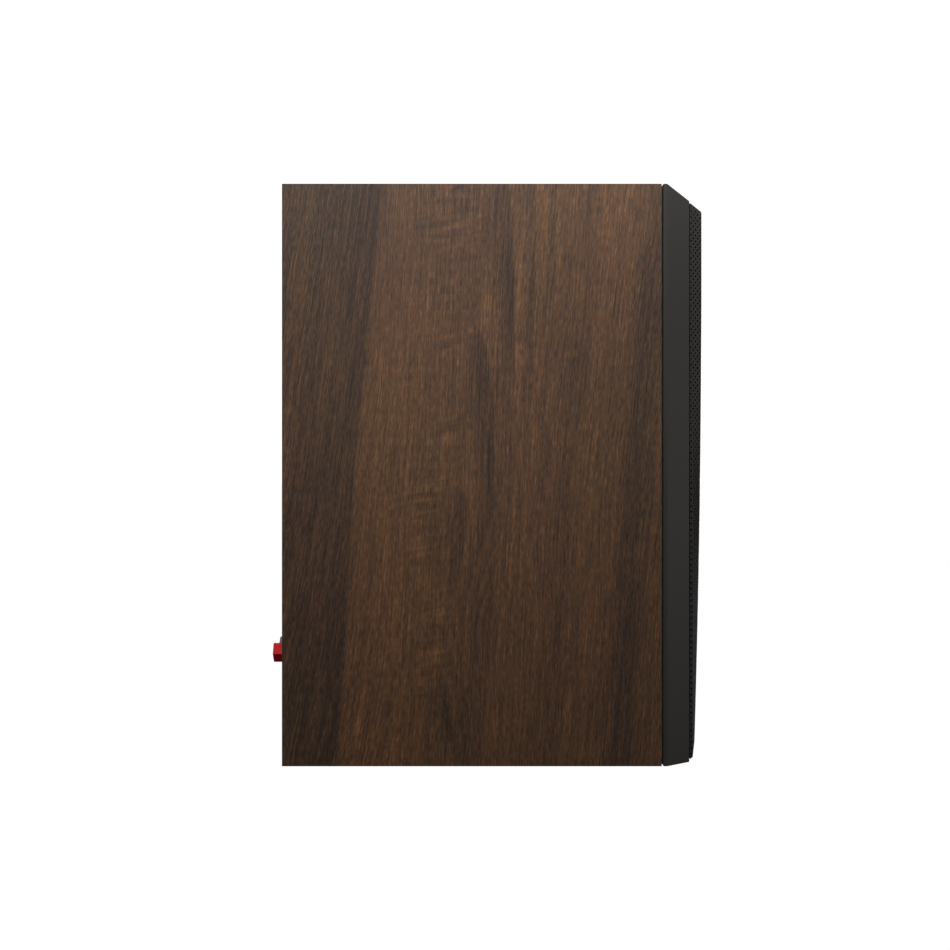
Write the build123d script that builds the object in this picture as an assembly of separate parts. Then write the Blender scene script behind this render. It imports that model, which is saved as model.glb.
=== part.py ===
"""Two-way bookshelf loudspeaker: a mitred box, a bevelled baffle, a magnetic grille, drivers and a crossover.

Millimetres. +Z is up and the baffle faces -Y. The origin is the centre of the whole object's footprint, on
the surface that it stands on. Depths behind the baffle's front face are written d and run along +Y.
"""

from build123d import *
import os
from math import cos, hypot, radians, sin, sqrt

# ---------------------------------------------------------------- driving dimensions
# cabinet
height = 400.0
width = 225.0
wall = 15.0
cabinet_depth = 260.8
# baffle: a straight strip, then bevels on the top and both sides
baffle_thick = 20.9
baffle_strip = 3.7
groove_run = 1.3
groove_drop = 1.8
bevel_side = 12.0
bevel_top = 9.5
bevel_bottom = 0.4
edge_soften = 0.6
# grille: a flat front, side bevels that widen towards the bottom, and bevelled ends
pad_thick = 0.7
grille_depth = 9.2
grille_sheet = 1.0
grille_inset = 1.5
grille_top = 389.6
grille_bottom = 2.0
fold_depth = 2.4
fold_inset = 0.8
front_inset = 6.0
front_taper = 26.5
taper_power = 1.6
taper_start = 260.0
front_top = 384.2
front_bottom = 8.1
lean_depth = 0.55
lean_top = 320.0
lean_bottom = 225.0
magnet_r = 4.0
magnet_x = 91.5
magnet_heights = (16.0, 206.0, 378.0)
# drivers
woofer_z = 112.0
tweeter_z = 292.0
flange_r = 88.0
woofer_hole_r = 75.0
# rear
port_z = 285.0
port_r = 27.0
port_length = 112.0
port_flare = 16.0
port_skin = 2.5
port_rim = 3.0
terminal_z = 65.8
cup_rim = (98.0, 66.0)
cup_well = (80.0, 48.0)
cup_screws = (43.0, 27.0)
cup_sink = 4.0
cup_skin = 3.0
gasket_thick = 1.0
post_gap = 32.0
post_reach = 20.0
knob_r = 7.7
knob_sides = 5
knob_edge = 0.4
plug_hole_r = 3.0
thread_r = 3.0
insert_r = 4.6
insert_length = 12.0
socket_r = 2.05
socket_depth = 16.0
washer_thick = 1.5
collar_height = 6.0
nut_thick = 4.0
tag_thick = 0.8
# fits
slip = 0.05

# ---------------------------------------------------------------- planes worked out from them
total_depth = post_reach + cabinet_depth + baffle_thick + pad_thick + grille_depth
y_rear = total_depth / 2 - post_reach
y_front = y_rear - cabinet_depth
y_face = y_front - baffle_thick
y_grille = y_face - pad_thick
y_inner_rear = y_rear - wall
frame_front = y_grille - 1.9
half_width = width / 2
face_half = half_width - bevel_side
cup_floor = y_rear - cup_sink
cup_back = cup_floor - cup_skin
tag_back = cup_back - nut_thick - tag_thick
collar_top = cup_floor + collar_height
knob_base = collar_top + washer_thick
knob_end = y_rear + post_reach
stud_end = knob_base + insert_length - 0.2
port_lip_r = port_r + port_flare


# ---------------------------------------------------------------- helpers
def block(x0, x1, y0, y1, z0, z1):
    """A box between two corners."""
    return Pos((x0 + x1) / 2, (y0 + y1) / 2, (z0 + z1) / 2) * Box(x1 - x0, y1 - y0, z1 - z0)


def rod(r, y0, y1, x=0.0, z=0.0):
    """A cylinder along Y."""
    return Pos(x, (y0 + y1) / 2, z) * Rot(90, 0, 0) * Cylinder(r, y1 - y0)


def tube(r_out, r_in, y0, y1, x=0.0, z=0.0):
    """A round tube along Y."""
    return rod(r_out, y0, y1, x, z) - rod(r_in, y0 - 1, y1 + 1, x, z)


def turned(outline, y, z, x=0.0):
    """A solid of revolution about the Y axis through (x, z). The outline's points are (radius, depth)."""
    return Pos(x, y, z) * revolve(make_face(outline), Axis.Y)


def polygon(*points):
    return Polyline(*points, close=True)


def plate(w, h, corner, y0, y1, x=0.0, z=0.0):
    """A rectangular plate with rounded corners, lying in XZ."""
    face = Plane.XZ * RectangleRounded(w, h, corner)
    return Pos(x, y1, z) * extrude(face, y1 - y0)


def slab(x0, x1, z0, z1, y):
    """A rectangular face in the plane Y = y."""
    return Pos((x0 + x1) / 2, y, (z0 + z1) / 2) * (Plane.XZ * Rectangle(x1 - x0, z1 - z0))


def around(count, radius, start=0.0):
    """Points of a bolt circle, as (x, z)."""
    turn = 360.0 / count
    return [
        (radius * cos(radians(start + turn * i)), radius * sin(radians(start + turn * i)))
        for i in range(count)
    ]


def solids(parts):
    """Separate solids kept side by side in one node."""
    return Compound(children=[s for part in parts for s in part.solids()])


def socket_screw(x, z, y_seat, inward, head_r=3.6, head_h=2.2, shank_r=1.9, length=14.0):
    """A pan-head socket screw. Its head sits on y_seat and its shank runs along inward (+1 or -1) in Y."""
    head_low, head_high = sorted((y_seat, y_seat - inward * head_h))
    shank_low, shank_high = sorted((y_seat, y_seat + inward * length))
    head = rod(head_r, head_low, head_high, x, z)
    outer_edge = head.faces().sort_by(Axis.Y)[-1 if inward < 0 else 0].edges()
    head = fillet(outer_edge, 0.8)
    socket_low, socket_high = sorted((y_seat - inward * head_h, y_seat - inward * 0.8))
    socket = Pos(x, socket_high, z) * extrude(Plane.XZ * RegularPolygon(1.6, 6), socket_high - socket_low)
    return head - socket + rod(shank_r, shank_low, shank_high, x, z)


# ---------------------------------------------------------------- cabinet
def side_panel(sign):
    """A side of the mitred wrap."""
    outer, inner = sign * half_width, sign * (half_width - wall)
    outline = Plane.XZ * make_face(
        polygon((outer, 0), (outer, height), (inner, height - wall), (inner, wall))
    )
    return Pos(0, y_rear, 0) * extrude(outline, cabinet_depth)


def cap_panel(z_outer, z_inner):
    """The top or bottom of the mitred wrap."""
    inner_half = half_width - wall
    outline = Plane.XZ * make_face(
        polygon(
            (-half_width, z_outer), (half_width, z_outer), (inner_half, z_inner), (-inner_half, z_inner)
        )
    )
    return Pos(0, y_rear, 0) * extrude(outline, cabinet_depth)


def rear_panel():
    """Inset back with the port's and the terminal cup's holes."""
    inner_half = half_width - wall
    panel = block(-inner_half, inner_half, y_inner_rear, y_rear, wall, height - wall)
    panel -= rod(port_lip_r + 0.2, y_inner_rear - 1, y_rear + 1, 0, port_z)
    panel -= rod(port_lip_r + port_rim + 0.1, y_rear - port_skin, y_rear + 1, 0, port_z)
    panel -= plate(cup_well[0] + 2, cup_well[1] + 2, 6, y_inner_rear - 1, y_rear + 1, 0, terminal_z)
    for x, z in terminal_screw_places():
        panel -= rod(1.6, y_rear - 12, y_rear + 1, x, z)
    return panel


def window_brace():
    """Shelf brace between the drivers, open in two windows."""
    inner_half = half_width - wall
    shelf = block(-inner_half, inner_half, y_front, y_inner_rear, 203, 215)
    for x in (-45.0, 45.0):
        window = Pos(x, 0, 202) * extrude(RectangleRounded(70, 190, 12), 14)
        shelf -= window
    return shelf


def baffle_blank():
    """The baffle before its driver holes: a softened back edge, a straight strip and the front bevels."""
    sunk_half = half_width - groove_drop
    back = loft(
        [
            slab(-sunk_half, sunk_half, groove_drop, height - groove_drop, y_front),
            slab(-half_width, half_width, 0, height, y_front - groove_run),
        ],
        ruled=True,
    )
    strip = block(-half_width, half_width, y_front - baffle_strip, y_front - groove_run, 0, height)
    front = loft(
        [
            slab(-half_width, half_width, 0, height, y_front - baffle_strip),
            slab(-face_half, face_half, bevel_bottom, height - bevel_top, y_face),
        ],
        ruled=True,
    )
    blank = back + strip + front
    face_edges = blank.faces().sort_by(Axis.Y)[0].edges()
    return fillet(face_edges, edge_soften)


def baffle():
    board = baffle_blank()
    board -= rod(woofer_hole_r, y_face - 1, y_front + 1, 0, woofer_z)
    board -= rod(flange_r + 0.6, y_face - 1, y_face + flange_thick + 1, 0, woofer_z)
    board -= rod(horn_mouth_r + horn_wall + 0.5, y_face - 1, y_front + 1, 0, tweeter_z)
    board -= plate(*horn_recess, 10.5, y_face - 1, y_face + 5, 0, tweeter_z)
    for x, z in around(6, woofer_bolt_r, 30):
        board -= rod(1.95, y_face, y_face + 17.5, x, woofer_z + z)
    for x, z in horn_screw_places():
        board -= rod(1.95, y_face, y_face + 16.5, x, z)
    for x, z in magnet_places():
        board -= rod(magnet_r, y_face - 1, y_face + 4, x, z)
    return board


def damping_pads():
    """Wadding sheets on the side walls, above and below the brace, and under the top."""
    inner = half_width - wall
    thick = 18.0
    sheets = []
    for side in (-1, 1):
        x0, x1 = sorted((side * inner, side * (inner - thick)))
        for z0, z1 in ((42, 196), (222, 360)):
            sheets.append(block(x0, x1, y_front + 12, y_inner_rear - 12, z0, z1))
    sheets.append(
        block(-70, 70, y_front + 12, y_inner_rear - 12, height - wall - thick, height - wall)
    )
    return solids([fillet(sheet.edges(), 5) for sheet in sheets])


# ---------------------------------------------------------------- port
def port_tube():
    """Flared rear mouth and tube, moulded in one. Depths run inwards from the rear face."""
    slant = sqrt(0.5)
    air_mid = (port_lip_r - port_flare * slant, port_flare - port_flare * slant)
    back = port_flare - port_skin
    back_mid = (port_lip_r - back * slant, port_flare - back * slant)
    rim_r = port_lip_r + port_rim
    outline = [
        Line((port_r, port_length), (port_r, port_flare)),
        ThreePointArc((port_r, port_flare), air_mid, (port_lip_r, 0)),
        Line((port_lip_r, 0), (rim_r, 0)),
        Line((rim_r, 0), (rim_r, port_skin)),
        Line((rim_r, port_skin), (port_lip_r, port_skin)),
        ThreePointArc((port_lip_r, port_skin), back_mid, (port_r + port_skin, port_flare)),
        Line((port_r + port_skin, port_flare), (port_r + port_skin, port_length)),
        Line((port_r + port_skin, port_length), (port_r, port_length)),
    ]
    return mirror(turned(outline, 0, 0), Plane.XZ).moved(Location((0, y_rear, port_z)))


def port_inner_flare():
    """Flared ring pushed over the tube's inner end."""
    flare = 14.0
    lap_start = port_length - 17.0
    sleeve_in = port_r + port_skin + slip
    sleeve_out = sleeve_in + 2.4
    lip_r = port_r + flare
    start = port_length + slip
    slant = sqrt(0.5)
    air_mid = (lip_r - flare * slant, start + flare * slant)
    back = lip_r - sleeve_out
    back_mid = (lip_r - back * slant, start + back * slant)
    outline = [
        Line((sleeve_in, lap_start), (sleeve_out, lap_start)),
        Line((sleeve_out, lap_start), (sleeve_out, start)),
        ThreePointArc((sleeve_out, start), back_mid, (lip_r, start + back)),
        Line((lip_r, start + back), (lip_r, start + flare)),
        ThreePointArc((lip_r, start + flare), air_mid, (port_r, start)),
        Line((port_r, start), (sleeve_in, start)),
        Line((sleeve_in, start), (sleeve_in, lap_start)),
    ]
    return mirror(turned(outline, 0, 0), Plane.XZ).moved(Location((0, y_rear, port_z)))


# ---------------------------------------------------------------- terminals
def terminal_screw_places():
    x, z = cup_screws
    return [(sx * x, terminal_z + sz * z) for sx in (-1, 1) for sz in (-1, 1)]


def post_places():
    """Red post first, on the -X side."""
    return {"red": -post_gap / 2, "black": post_gap / 2}


def terminal_plate():
    """Cup with a screwed rim. The posts stand on its floor."""
    seat = y_rear + gasket_thick
    rim_face = seat + 2.5
    rim = plate(*cup_rim, 8, seat, rim_face, 0, terminal_z)
    rim = fillet(rim.faces().sort_by(Axis.Y)[-1].edges(), 1.2)
    well = plate(*cup_well, 5, cup_back, seat, 0, terminal_z)
    hollow = plate(cup_well[0] - 5, cup_well[1] - 5, 4, cup_floor, rim_face + 1, 0, terminal_z)
    cup = rim + well - hollow
    for x in post_places().values():
        cup -= rod(thread_r + 0.2, cup_back - 1, cup_floor + 1, x, terminal_z)
    for x, z in terminal_screw_places():
        cup -= rod(1.7, y_rear, rim_face + 1, x, z)
    return cup


def terminal_gasket():
    ring = plate(cup_rim[0] - 2, cup_rim[1] - 2, 7, y_rear, y_rear + gasket_thick, 0, terminal_z)
    ring -= plate(cup_well[0] + 2, cup_well[1] + 2, 6, y_rear - 1, y_rear + 2, 0, terminal_z)
    for x, z in terminal_screw_places():
        ring -= rod(1.7, y_rear - 1, y_rear + 2, x, z)
    return ring


def terminal_screws():
    seat = y_rear + gasket_thick + 2.5
    return solids(
        [
            socket_screw(x, z, seat, -1, head_r=3.0, head_h=1.8, shank_r=1.5, length=13)
            for x, z in terminal_screw_places()
        ]
    )


def post_stud(x):
    """Hollow threaded stud. Its open end takes a 4 mm plug."""
    stud = rod(thread_r, cup_back - 15, stud_end, x, terminal_z)
    return stud - rod(socket_r, stud_end - socket_depth, stud_end + 1, x, terminal_z)


def post_collars():
    """Moulded insulators under the clamping washers."""
    made = []
    for x in post_places().values():
        collar = tube(7.6, thread_r + slip, cup_floor, collar_top, x, terminal_z)
        rim = collar.edges().filter_by(GeomType.CIRCLE).group_by(Axis.Y)[-1].sort_by(SortBy.RADIUS)[-1]
        made.append(chamfer(rim, 0.8))
    return solids(made)


def post_washer(x):
    return tube(6.1, thread_r + slip, collar_top, knob_base, x, terminal_z)


def post_insert(x):
    """Brass nut moulded into the knob."""
    return tube(insert_r, thread_r + slip, knob_base, knob_base + insert_length, x, terminal_z)


def post_knob(x, turn):
    """Five-sided cap with chamfered ends and a plug hole."""
    prism = Plane.XZ * RegularPolygon(knob_r, knob_sides, rotation=turn)
    knob = extrude(prism, knob_end - knob_base).moved(Location((0, knob_end, 0)))
    ends = knob.faces().sort_by(Axis.Y)
    knob = chamfer(ends[-1].edges() + ends[0].edges(), knob_edge)
    knob -= rod(insert_r, knob_base - 1, knob_base + insert_length)
    knob -= rod(plug_hole_r, knob_base + insert_length - 1, knob_end + 1)
    return knob.moved(Location((x, 0, terminal_z)))


def post_nuts():
    """Hexagonal nuts that hold the studs from inside."""
    made = []
    for x in post_places().values():
        nut = Pos(x, cup_back, terminal_z) * extrude(Plane.XZ * RegularPolygon(5.8, 6), nut_thick)
        made.append(nut - rod(thread_r + slip, cup_back - 6, cup_back + 1, x, terminal_z))
    return solids(made)


def solder_tags():
    """Ring tags behind the nuts, with a tail for the wire."""
    front = tag_back + tag_thick
    made = []
    for x in post_places().values():
        tag = rod(5.4, tag_back, front, x, terminal_z)
        tag += block(x - 2.5, x + 2.5, tag_back, front, terminal_z - 17, terminal_z)
        made.append(tag - rod(thread_r + slip, tag_back - 1, front + 1, x, terminal_z))
    return solids(made)


# ---------------------------------------------------------------- woofer
woofer_bolt_r = 81.5
flange_thick = 6.5
cone_rim_r = 57.0
cone_rim_d = 5.2
cone_neck_r = 13.2
cone_neck_d = 28.0
cone_mid = (34.0, 15.8)
cone_skin = 0.8
surround_r = 65.0
spider_d = 43.2
basket_r = 73.5
basket_slope = 19.5 / 55.0


def circle_through(a, b, c):
    """Centre and radius of the circle through three points."""
    d = 2 * (a[0] * (b[1] - c[1]) + b[0] * (c[1] - a[1]) + c[0] * (a[1] - b[1]))
    sa, sb, sc = (p[0] ** 2 + p[1] ** 2 for p in (a, b, c))
    x = (sa * (b[1] - c[1]) + sb * (c[1] - a[1]) + sc * (a[1] - b[1])) / d
    y = (sa * (c[0] - b[0]) + sb * (a[0] - c[0]) + sc * (b[0] - a[0])) / d
    return (x, y), hypot(a[0] - x, a[1] - y)


def cone_depth(r):
    """Depth of the cone's front surface at radius r."""
    centre, radius = circle_through((cone_rim_r, cone_rim_d), cone_mid, (cone_neck_r, cone_neck_d))
    return centre[1] - sqrt(radius**2 - (r - centre[0]) ** 2)


def woofer_basket():
    """Cast frame with a flange, six arms, a spider shelf and a magnet seat."""
    foot_d = 60.0

    def outer(d):
        return basket_r - basket_slope * (d - flange_thick)

    def inner(d):
        return outer(d) - 2.7

    outline = polygon(
        (flange_r, 0), (flange_r, flange_thick), (basket_r, flange_thick),
        (outer(foot_d), foot_d), (outer(foot_d), foot_d + 3),
        (18, foot_d + 3), (18, foot_d), (inner(foot_d), foot_d), (inner(46), 46), (43, 46),
        (43, 44), (inner(44), 44), (inner(8), 8), (70, cone_rim_d), (74, cone_rim_d), (74, 0),
    )
    frame = turned(outline, y_face, woofer_z)
    rim = frame.edges().filter_by(GeomType.CIRCLE).group_by(Axis.Y)[0].sort_by(SortBy.RADIUS)
    frame = fillet(rim[-1], 1.0)
    for i in range(6):
        spin = Pos(0, y_face, woofer_z) * Rot(0, 60 * i, 0)
        frame -= spin * block(46, 82, 13, 40, -19.5, 19.5)
        frame -= spin * block(44, 62, 48, 57, -15, 15)
    for x, z in around(6, woofer_bolt_r, 30):
        frame -= rod(2.2, y_face - 1, y_face + flange_thick + 1, x, woofer_z + z)
    return frame


def woofer_gasket():
    seat = y_face + flange_thick
    ring = tube(flange_r, woofer_hole_r, seat, seat + 1, 0, woofer_z)
    for x, z in around(6, woofer_bolt_r, 30):
        ring -= rod(2.2, seat - 1, seat + 2, x, woofer_z + z)
    return ring


def woofer_screws():
    return solids(
        [
            socket_screw(x, woofer_z + z, y_face, 1, head_r=4.0, head_h=2.4, length=17)
            for x, z in around(6, woofer_bolt_r, 30)
        ]
    )


def woofer_cone():
    """Flared cone with a flat rim for the surround."""
    rim_back = (cone_rim_r, cone_rim_d + cone_skin)
    mid_back = (cone_mid[0], cone_mid[1] + cone_skin * 1.2)
    neck_back = (cone_neck_r, cone_neck_d + cone_skin * 1.5)
    outline = [
        Line((cone_rim_r + 3, cone_rim_d), (cone_rim_r, cone_rim_d)),
        ThreePointArc((cone_rim_r, cone_rim_d), cone_mid, (cone_neck_r, cone_neck_d)),
        Line((cone_neck_r, cone_neck_d), neck_back),
        ThreePointArc(neck_back, mid_back, rim_back),
        Line(rim_back, (cone_rim_r + 3, cone_rim_d + cone_skin)),
        Line((cone_rim_r + 3, cone_rim_d + cone_skin), (cone_rim_r + 3, cone_rim_d)),
    ]
    return turned(outline, y_face, woofer_z)


def woofer_surround():
    """Rubber half roll between the cone and the basket."""
    rim_r = 73.9
    top = cone_rim_d - 0.9
    bore, crown = 4.1, 5.1
    roll = (surround_r, cone_rim_d - bore)
    ridge = (surround_r, cone_rim_d - crown)
    outline = [
        Line((cone_rim_r, cone_rim_d), (surround_r - bore, cone_rim_d)),
        ThreePointArc((surround_r - bore, cone_rim_d), roll, (surround_r + bore, cone_rim_d)),
        Line((surround_r + bore, cone_rim_d), (rim_r, cone_rim_d)),
        Line((rim_r, cone_rim_d), (rim_r, top)),
        Line((rim_r, top), (surround_r + crown, top)),
        ThreePointArc((surround_r + crown, top), ridge, (surround_r - crown, top)),
        Line((surround_r - crown, top), (cone_rim_r, top)),
        Line((cone_rim_r, top), (cone_rim_r, cone_rim_d)),
    ]
    return turned(outline, y_face, woofer_z)


def dome(r, rise, skin, y_base, z):
    """A spherical shell bulging towards -Y from a circle of radius r at y_base."""
    ball_r = (r**2 + rise**2) / (2 * rise)
    ball = Pos(0, y_base - rise + ball_r, z) * (Sphere(ball_r) - Sphere(ball_r - skin))
    return ball & rod(r + 1, y_base - rise - 1, y_base, 0, z)


def woofer_dust_cap():
    """Domed cap glued to the cone."""
    r = 21.0
    return dome(r, 6.5, 0.7, y_face + cone_depth(r) - 0.1, woofer_z)


def woofer_spider():
    """Corrugated centring disc from the coil former to the basket's shelf."""
    skin = 0.8
    wave = 1.5
    waves = [(cone_neck_r, spider_d)]
    waves += [(17.0 + 4 * i, spider_d + (wave if i % 2 else -wave)) for i in range(7)]
    waves += [(43.4, spider_d), (52.0, spider_d)]
    lower = [(r, d + skin) for r, d in reversed(waves)]
    return turned(polygon(*waves, *lower), y_face, woofer_z)


def woofer_former():
    return tube(13.15, 12.95, y_face + 23, y_face + 74, 0, woofer_z)


def woofer_coil():
    return tube(13.9, 13.15, y_face + 60, y_face + 72, 0, woofer_z)


def woofer_top_plate():
    return tube(47.5, 14.4, y_face + 63, y_face + 69, 0, woofer_z)


def woofer_magnet():
    ring = tube(50, 24, y_face + 69, y_face + 87, 0, woofer_z)
    rims = ring.edges().filter_by(GeomType.CIRCLE).filter_by(lambda e: e.radius > 49)
    return chamfer(rims, 1.2)


def woofer_yoke():
    """Back plate and pole piece with a vent."""
    plate_part = rod(47.5, y_face + 87, y_face + 94, 0, woofer_z)
    pole = rod(12.6, y_face + 61, y_face + 87, 0, woofer_z)
    return plate_part + pole - rod(5, y_face + 60, y_face + 95, 0, woofer_z)


def woofer_terminals():
    """Tag strip on the basket's upper arm."""
    front, back = 36.0, 50.0
    strip = block(-11, 11, y_face + front, y_face + back, woofer_z + 50, woofer_z + 66)
    clear_r = basket_r + slip
    foot_r = clear_r - basket_slope * (60 - flange_thick)
    basket_form = polygon((0, flange_thick), (clear_r, flange_thick), (foot_r, 60), (0, 60))
    strip -= turned(basket_form, y_face, woofer_z)
    for x in (-6.0, 6.0):
        strip += block(x - 2.4, x + 2.4, y_face + back, y_face + back + 7, woofer_z + 63.5, woofer_z + 64.3)
    return strip


# ---------------------------------------------------------------- tweeter
horn_recess = (165.2, 151.2)
horn_plate = (164.0, 150.0)
horn_mouth_r = 66.0
throat_r = 15.8
throat_d = 34.0
horn_wall = 3.0
dome_r = 12.7


def horn_screw_places():
    return [(x, tweeter_z + z) for x in (-73, 73) for z in (-66, 66)]


def horn_volume(grow, front, back):
    """The flared air space, or with grow the horn's outside. front and back are straight run-outs."""
    mouth = (horn_mouth_r + grow, 0.0)
    throat = (throat_r + grow, throat_d)
    middle = (30.0 + grow, 12.0)
    outline = [
        Line((0, -front), (mouth[0], -front)),
        Line((mouth[0], -front), mouth),
        ThreePointArc(mouth, middle, throat),
        Line(throat, (throat[0], throat_d + back)),
        Line((throat[0], throat_d + back), (0, throat_d + back)),
        Line((0, throat_d + back), (0, -front)),
    ]
    return turned(outline, y_face, tweeter_z)


def waveguide():
    """Moulded horn and front plate in one, with a rear flange for the motor."""
    front = plate(*horn_plate, 10, y_face, y_face + 4, 0, tweeter_z)
    front = fillet(front.faces().sort_by(Axis.Y)[0].edges(), 0.8)
    horn = horn_volume(horn_wall, 1, 1.5) & rod(90, y_face + 1, y_face + throat_d + 1.5, 0, tweeter_z)
    flange = rod(36, y_face + throat_d - 4.5, y_face + throat_d + 1.5, 0, tweeter_z)
    body = front + horn + flange - horn_volume(0, 2, 3)
    for x, z in horn_screw_places():
        body -= rod(2.2, y_face - 1, y_face + 5, x, z)
    return body


def tweeter_gasket():
    ring = plate(*horn_plate, 10, y_face + 4, y_face + 5, 0, tweeter_z)
    ring -= rod(horn_mouth_r + horn_wall + 0.5, y_face + 3, y_face + 6, 0, tweeter_z)
    for x, z in horn_screw_places():
        ring -= rod(2.2, y_face + 3, y_face + 6, x, z)
    return ring


def tweeter_screws():
    return solids(
        [
            socket_screw(x, z, y_face, 1, head_r=3.6, head_h=2.0, length=16)
            for x, z in horn_screw_places()
        ]
    )


def tweeter_dome():
    """Domed diaphragm."""
    return dome(dome_r, 5.0, 0.5, y_face + throat_d + 2, tweeter_z)


def tweeter_surround():
    """Small roll round the dome, with the clamped mounting ring."""
    top, low = throat_d + 1.5, throat_d + 2
    mid_r = 14.2
    bore, crown = 1.0, 1.4
    outline = [
        Line((dome_r + 0.05, low), (mid_r - bore, low)),
        ThreePointArc((mid_r - bore, low), (mid_r, low - bore), (mid_r + bore, low)),
        Line((mid_r + bore, low), (35.5, low)),
        Line((35.5, low), (35.5, top)),
        Line((35.5, top), (mid_r + crown, top)),
        ThreePointArc((mid_r + crown, top), (mid_r, low - crown - 0.1), (mid_r - crown + 0.05, top)),
        Line((mid_r - crown + 0.05, top), (dome_r + 0.05, top)),
        Line((dome_r + 0.05, top), (dome_r + 0.05, low)),
    ]
    return turned(outline, y_face, tweeter_z)


def tweeter_coil():
    return tube(12.95, 12.45, y_face + throat_d + 2, y_face + throat_d + 7, 0, tweeter_z)


def tweeter_top_plate():
    return tube(36, 13.4, y_face + throat_d + 2, y_face + throat_d + 6, 0, tweeter_z)


def tweeter_magnet():
    return tube(36, 20, y_face + throat_d + 6, y_face + throat_d + 18, 0, tweeter_z)


def tweeter_yoke():
    back = rod(34, y_face + throat_d + 18, y_face + throat_d + 23, 0, tweeter_z)
    return back + rod(12.0, y_face + throat_d + 3, y_face + throat_d + 18, 0, tweeter_z)


# ---------------------------------------------------------------- crossover and wiring
board_z = 23.0
board_thick = 1.6
board_y = (-5.0, 95.0)
board_half = 66.0


def standoff_places():
    return [(x, y) for x in (-board_half + 6, board_half - 6) for y in (board_y[0] + 6, board_y[1] - 6)]


def crossover_board():
    board = block(-board_half, board_half, *board_y, board_z, board_z + board_thick)
    for x, y in standoff_places():
        board -= Pos(x, y, board_z) * Cylinder(1.7, 6)
    return board


def crossover_standoffs():
    """Posts that hold the board off the floor, with a pin and a cap through it."""
    made = []
    for x, y in standoff_places():
        post = Pos(x, y, (wall + board_z) / 2) * Cylinder(4, board_z - wall)
        pin = Pos(x, y, board_z + board_thick / 2) * Cylinder(1.6, board_thick)
        cap = Pos(x, y, board_z + board_thick + 1) * Cylinder(3.2, 2)
        made.append(post + pin + cap)
    return solids(made)


def inductor(x, y, r_out, r_in, tall):
    """Bobbin-wound coil, as a ring standing on the board."""
    z = board_z + board_thick + tall / 2
    ring = Pos(x, y, z) * (Cylinder(r_out, tall) - Cylinder(r_in, tall + 2))
    return fillet(ring.edges().filter_by(GeomType.CIRCLE).filter_by(lambda e: e.radius > r_in + 1), 2)


def capacitors():
    """Film capacitors lying on the board."""
    made = []
    for x, y, r, long in ((36, 74, 9, 34), (-8, 76, 7, 28), (40, 50, 6, 24)):
        body = Pos(x, y, board_z + board_thick + r) * Rot(0, 90, 0) * Cylinder(r, long)
        made.append(chamfer(body.edges().filter_by(GeomType.CIRCLE), 1))
    return solids(made)


def resistors():
    """Cement resistors standing off the board."""
    low = board_z + board_thick
    made = [block(-12, -2, 6, 50, low, low + 9), block(4, 14, 6, 50, low, low + 9)]
    return solids([chamfer(part.edges(), 0.8) for part in made])


def wire(points, shift, bend=9.0):
    """A round wire through the points, moved sideways by shift."""
    r = 1.2
    path = FilletPolyline(*[(x + shift, y, z) for x, y, z in points], radius=bend)
    start = Plane(origin=path @ 0, z_dir=path % 0)
    return sweep(start * Circle(r), path)


def wiring(colour, shift):
    """One conductor of each pair: terminals to board, board to woofer, board to tweeter."""
    board_top = board_z + board_thick + 0.05
    tag_x = post_places()[colour]
    tag_y = tag_back - 1.3
    feed = [
        (tag_x, tag_y, terminal_z - 14),
        (tag_x, tag_y, terminal_z - 24),
        (tag_x, 88, terminal_z - 24),
        (tag_x, 88, board_top),
    ]
    woofer_run = [
        (54, 2, board_top),
        (54, 2, 150),
        (30, -48, woofer_z + 68),
        (8, -70, woofer_z + 65.6),
        (8, y_face + 53, woofer_z + 65.6),
    ]
    tweeter_run = [
        (-54, 2, board_top),
        (-54, 2, 190),
        (-50, -24, 240),
        (-14, -52, tweeter_z - 20),
        (-14, y_face + throat_d + 23.1, tweeter_z - 16),
    ]
    feed_wire = wire(feed, 0, 7)
    return solids([feed_wire, wire(woofer_run, shift - 2), wire(tweeter_run, shift + 2)])


# ---------------------------------------------------------------- grille
def magnet_places():
    """Three pairs up the sides, clear of the drivers, as (x, z)."""
    return [(sign * magnet_x, z) for sign in (-1, 1) for z in magnet_heights]


def front_edge(z):
    """How far the grille's flat front starts in from its side edge, at height z."""
    fall = max(0.0, (taper_start - z) / (taper_start - front_bottom))
    return front_inset + front_taper * fall**taper_power


def front_lean(z):
    """How far the grille's front has leaned back at height z."""
    fall = (lean_top - z) / (lean_top - lean_bottom)
    return lean_depth * min(1.0, max(0.0, fall))


def grille_station(z, shrink):
    """The grille's cross-section at height z, as a face in XY. shrink moves its walls inwards."""
    side = face_half - grille_inset - shrink
    back = y_grille + (1.0 if shrink else 0.0)
    fold = y_grille - fold_depth + shrink * 0.4
    front = y_grille - grille_depth + shrink + front_lean(z)
    front_x = face_half - grille_inset - front_edge(z) - shrink * 0.4
    points = [(side, back), (side - fold_inset, fold), (front_x, front)]
    points += [(-x, y) for x, y in reversed(points)]
    return Pos(0, 0, z) * make_face(polygon(*points))


def grille_form(shrink):
    """The grille's outer or inner shape: side bevels by height, cut by the top and bottom bevels."""
    heights = [grille_bottom - 1, 40, 80, 120, 160, 200, lean_bottom, taper_start, lean_top, grille_top + 1]
    body = loft([grille_station(z, shrink) for z in heights], ruled=True)
    front = y_grille - grille_depth
    corners = [
        (y_grille, grille_bottom + shrink),
        (y_grille, grille_top - shrink),
        (front, front_top - shrink),
        (front, front_bottom + shrink),
    ]
    if shrink:
        open_end = [(y_grille + 2, grille_bottom + shrink), (y_grille + 2, grille_top - shrink)]
        corners[1:1] = open_end
    side_view = extrude(Plane.YZ * make_face(polygon(*corners)), width, both=True)
    return body & side_view


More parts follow.
